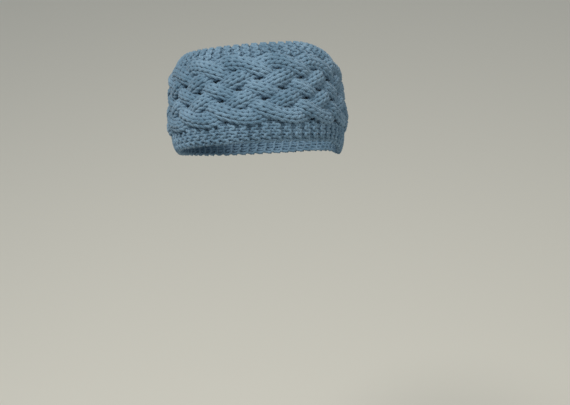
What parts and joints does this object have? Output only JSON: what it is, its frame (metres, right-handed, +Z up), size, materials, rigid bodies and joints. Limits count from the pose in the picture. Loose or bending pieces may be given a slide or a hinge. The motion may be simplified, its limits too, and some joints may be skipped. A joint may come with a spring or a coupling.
{
  "type": "knitted ear warmer headband",
  "caption": "Wide knitted ear warmer headband, a ring of fabric as worn, with a plaited cable panel between garter-stitch edgings.",
  "frame": {"origin": "centre of the band's opening at the middle of its width, where the head sits", "axes": "+Z up along the wearer's upright head, -Y towards the front, +X to the wearer's left; the band is worn tilted, high on the forehead and low at the back"},
  "size_m": [0.1619, 0.1895, 0.1642],
  "materials": {
    "yarn": "soft plied wool-blend yarn, light denim blue",
    "yarn_inside": "wrong side of the same yarn"
  },
  "bodies": {
    "root": {"bottom_edging": "yarn", "top_edging": "yarn", "panel": "yarn_inside", "plait_strand_1": "yarn", "plait_strand_2": "yarn", "plait_strand_3": "yarn", "plait_strand_4": "yarn", "plait_strand_5": "yarn", "plait_strand_6": "yarn"}
  },
  "joints": []
}
